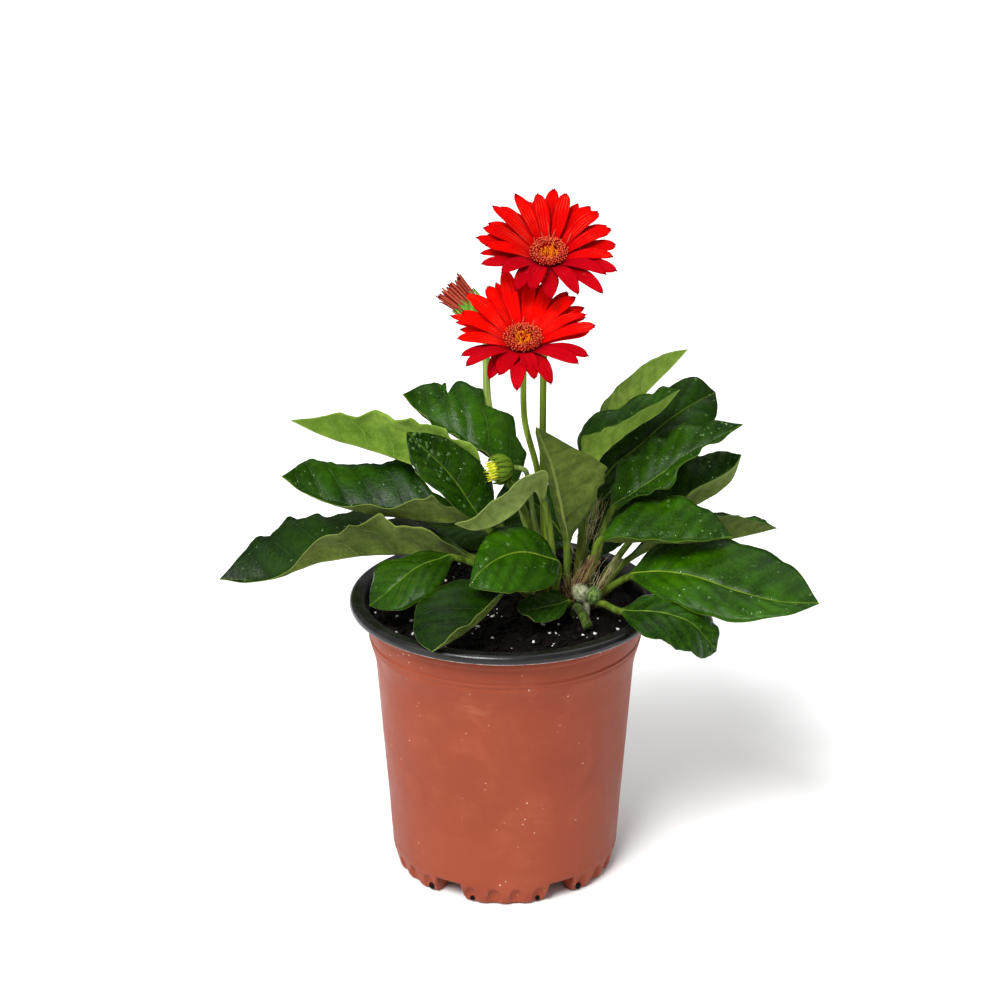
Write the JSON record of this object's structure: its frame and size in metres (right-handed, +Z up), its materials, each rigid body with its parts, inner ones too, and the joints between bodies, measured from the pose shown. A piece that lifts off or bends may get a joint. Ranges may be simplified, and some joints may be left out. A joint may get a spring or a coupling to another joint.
{
  "type": "potted gerbera",
  "caption": "Gerbera in a fluted-foot nursery pot: a spreading rosette of wavy leaves, red daisy blooms on bare stalks, a half-open bud and a young bud.",
  "frame": {"origin": "on the pot's axis, at the level of the surface that the feet stand on", "axes": "+Z up along the pot, +X to the right and -Y to the front, where the blooms look"},
  "size_m": [0.3474, 0.1813, 0.4],
  "materials": {
    "terracotta": "satin terracotta-coloured skin",
    "black_plastic": "satin black",
    "potting_mix": "moist dark bark and peat with white perlite",
    "leaf_green": "wet dark green leaf, pale underneath",
    "lime_leaf": "pale green, finely felted",
    "scape_green": "pale green, finely downy",
    "petal_red": "velvety bright red",
    "disc_gold": "orange-gold florets over dark red",
    "bud_salmon": "dull salmon backs of closed rays",
    "bud_yellow": "greenish yellow"
  },
  "bodies": {
    "root": {"pot_skin": "terracotta", "pot_lining": "black_plastic", "potting_mix": "potting_mix", "leaf_left_low": "leaf_green", "leaf_left_mid": "leaf_green", "leaf_left_high": "lime_leaf", "leaf_left_upright": "leaf_green", "leaf_back_left": "leaf_green", "leaf_front_curled": "leaf_green", "leaf_centre_upright": "leaf_green", "leaf_back_right_tall": "lime_leaf", "leaf_right_high": "leaf_green", "leaf_back_right": "leaf_green", "leaf_right_mid": "leaf_green", "leaf_right_back": "leaf_green", "leaf_right_glossy": "leaf_green", "leaf_right_behind": "leaf_green", "leaf_right_big": "leaf_green", "leaf_right_low": "leaf_green", "leaf_front_bright": "leaf_green", "leaf_left_front": "leaf_green", "leaf_front_over_lip": "leaf_green", "leaf_front_small": "leaf_green", "leaf_behind_left": "leaf_green", "leaf_behind_right": "leaf_green", "leaf_behind_middle": "leaf_green", "upper_bloom_rays": "petal_red", "upper_bloom_disc": "disc_gold", "upper_bloom_scape": "scape_green", "lower_bloom_rays": "petal_red", "lower_bloom_disc": "disc_gold", "lower_bloom_scape": "scape_green", "half_open_bud_rays": "bud_salmon", "half_open_bud_scape": "scape_green", "young_bud_tips": "bud_yellow", "young_bud_scape": "scape_green", "old_stalk": "scape_green", "crown_buds": "lime_leaf"}
  },
  "joints": []
}
